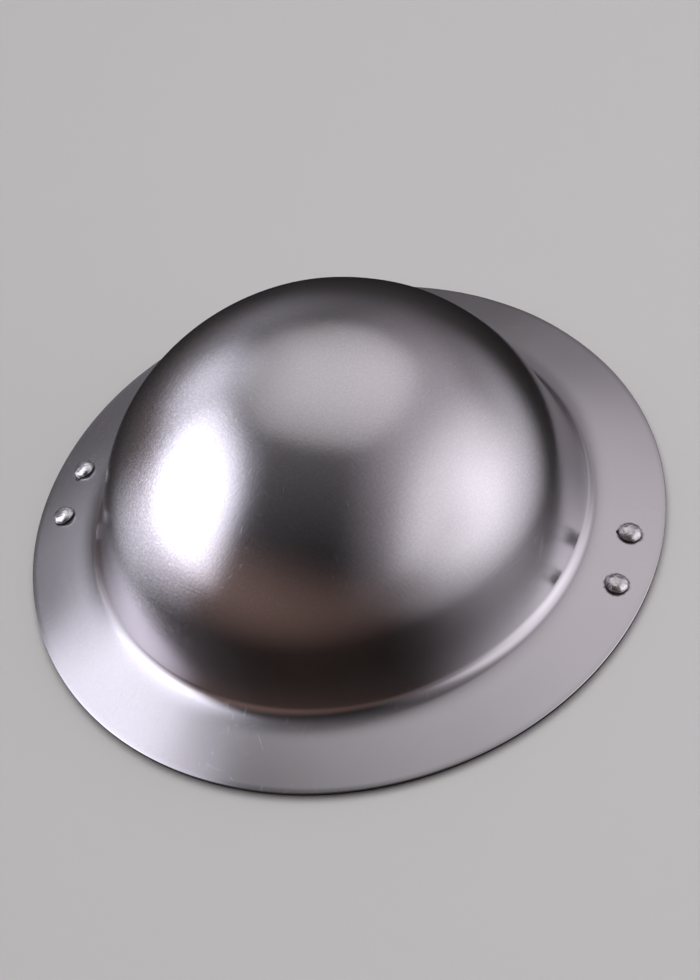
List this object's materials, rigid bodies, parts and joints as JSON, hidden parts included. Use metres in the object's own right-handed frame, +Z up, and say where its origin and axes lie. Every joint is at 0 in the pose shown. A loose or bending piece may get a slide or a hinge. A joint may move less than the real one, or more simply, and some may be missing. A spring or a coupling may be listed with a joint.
{
  "type": "buckler shield",
  "caption": "Small round hand shield: one-piece domed steel bowl with a sloping rim, round-head rivets holding a folded steel grip across the open back.",
  "frame": {"origin": "on the ground under the middle of the disc, as the shield lies dome up", "axes": "+Z up through the dome, +X along the grip, +Y square to the grip"},
  "size_m": [0.2598, 0.2598, 0.0997],
  "materials": {
    "shield_steel": "satin polished sheet steel with fine random scratches",
    "grip_steel": "plainer ground steel strap",
    "rivet_steel": "hammered round heads, darker at their seats"
  },
  "bodies": {
    "root": {"bowl": "shield_steel", "grip": "grip_steel", "rivet_left_front": "rivet_steel", "rivet_left_back": "rivet_steel", "rivet_right_front": "rivet_steel", "rivet_right_back": "rivet_steel"}
  },
  "joints": []
}
